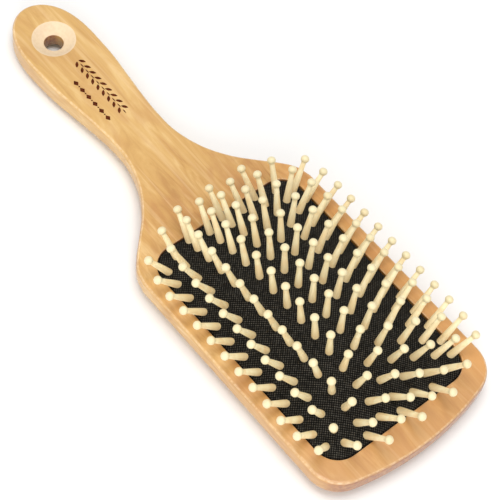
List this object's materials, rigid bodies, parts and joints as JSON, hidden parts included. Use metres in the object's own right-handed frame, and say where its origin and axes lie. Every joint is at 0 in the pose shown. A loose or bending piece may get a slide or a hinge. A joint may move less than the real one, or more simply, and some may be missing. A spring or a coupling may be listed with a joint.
{
  "type": "paddle hair brush",
  "caption": "Flat wooden paddle hair brush with a waisted handle, a hanging hole, a domed black air cushion and rows of ball-tipped wooden pins that fan outwards.",
  "frame": {"origin": "middle of the overall length and width, on the flat back", "axes": "+Z out of the pin face, +Y from the handle towards the paddle's end, +X across the brush"},
  "size_m": [0.0866, 0.2476, 0.0373],
  "materials": {
    "wood": "clear satin lacquer over straight pale grain",
    "cushion": "matt black rubber faced with fine woven textile",
    "pins": "smooth pale turned wood, lightly polished"
  },
  "bodies": {
    "handle": {"wood_body": "wood"},
    "cushion": {"cushion": "cushion"},
    "column_a": {"pins_a1": "pins", "pins_a2": "pins", "pins_a3": "pins", "pins_a4": "pins", "pins_a5": "pins"},
    "column_b": {"pins_b1": "pins", "pins_b2": "pins", "pins_b3": "pins", "pins_b4": "pins", "pins_b5": "pins"},
    "column_c": {"pins_c1": "pins", "pins_c2": "pins", "pins_c3": "pins", "pins_c4": "pins", "pins_c5": "pins"},
    "column_d": {"pins_d1": "pins", "pins_d2": "pins", "pins_d3": "pins", "pins_d4": "pins", "pins_d5": "pins"},
    "column_e": {"pins_e1": "pins", "pins_e2": "pins", "pins_e3": "pins", "pins_e4": "pins", "pins_e5": "pins"},
    "column_f": {"pins_f1": "pins", "pins_f2": "pins", "pins_f3": "pins", "pins_f4": "pins", "pins_f5": "pins"},
    "column_g": {"pins_g1": "pins", "pins_g2": "pins", "pins_g3": "pins", "pins_g4": "pins", "pins_g5": "pins"},
    "column_h": {"pins_h1": "pins", "pins_h2": "pins", "pins_h3": "pins", "pins_h4": "pins", "pins_h5": "pins"},
    "column_i": {"pins_i1": "pins", "pins_i2": "pins", "pins_i3": "pins", "pins_i4": "pins", "pins_i5": "pins"},
    "row_tip": {"pins_tip1": "pins", "pins_tip2": "pins", "pins_tip3": "pins"},
    "row_neck": {"pins_neck1": "pins", "pins_neck2": "pins", "pins_neck3": "pins"}
  },
  "joints": [
    {"name": "cushion_press", "type": "slide", "parent": "handle", "child": "cushion", "axis": [0, 0, -1], "range_m": [0, 0.002], "stiffness_N_per_m": 3000, "deforming": ["cushion"]},
    {"name": "column_a_rock", "type": "hinge", "parent": "handle", "child": "column_a", "pos_m": [-0.0319, 0.0566, 0.01228], "axis": [0, 1, 0], "range_deg": [-8, 8], "stiffness_Nm_per_rad": 0.01},
    {"name": "column_b_rock", "type": "hinge", "parent": "cushion", "child": "column_b", "pos_m": [-0.02521, 0.0566, 0.01529], "axis": [0, 1, 0], "range_deg": [-8, 8], "stiffness_Nm_per_rad": 0.01},
    {"name": "column_c_rock", "type": "hinge", "parent": "cushion", "child": "column_c", "pos_m": [-0.01728, 0.0566, 0.01755], "axis": [0, 1, 0], "range_deg": [-8, 8], "stiffness_Nm_per_rad": 0.01},
    {"name": "column_d_rock", "type": "hinge", "parent": "cushion", "child": "column_d", "pos_m": [-0.00873, 0.0566, 0.01957], "axis": [0, 1, 0], "range_deg": [-8, 8], "stiffness_Nm_per_rad": 0.01},
    {"name": "column_e_rock", "type": "hinge", "parent": "cushion", "child": "column_e", "pos_m": [0, 0.0566, 0.0197], "axis": [0, 1, 0], "range_deg": [-8, 8], "stiffness_Nm_per_rad": 0.01},
    {"name": "column_f_rock", "type": "hinge", "parent": "cushion", "child": "column_f", "pos_m": [0.00873, 0.0566, 0.01957], "axis": [0, 1, 0], "range_deg": [-8, 8], "stiffness_Nm_per_rad": 0.01},
    {"name": "column_g_rock", "type": "hinge", "parent": "cushion", "child": "column_g", "pos_m": [0.01728, 0.0566, 0.01755], "axis": [0, 1, 0], "range_deg": [-8, 8], "stiffness_Nm_per_rad": 0.01},
    {"name": "column_h_rock", "type": "hinge", "parent": "cushion", "child": "column_h", "pos_m": [0.02521, 0.0566, 0.01529], "axis": [0, 1, 0], "range_deg": [-8, 8], "stiffness_Nm_per_rad": 0.01},
    {"name": "column_i_rock", "type": "hinge", "parent": "handle", "child": "column_i", "pos_m": [0.0319, 0.0566, 0.01228], "axis": [0, 1, 0], "range_deg": [-8, 8], "stiffness_Nm_per_rad": 0.01},
    {"name": "row_tip_rock", "type": "hinge", "parent": "handle", "child": "row_tip", "pos_m": [0, 0.10685, 0.0126], "axis": [1, 0, 0], "range_deg": [-5, 5], "stiffness_Nm_per_rad": 0.008},
    {"name": "row_neck_rock", "type": "hinge", "parent": "handle", "child": "row_neck", "pos_m": [0, 0.00635, 0.0126], "axis": [1, 0, 0], "range_deg": [-5, 5], "stiffness_Nm_per_rad": 0.008}
  ]
}
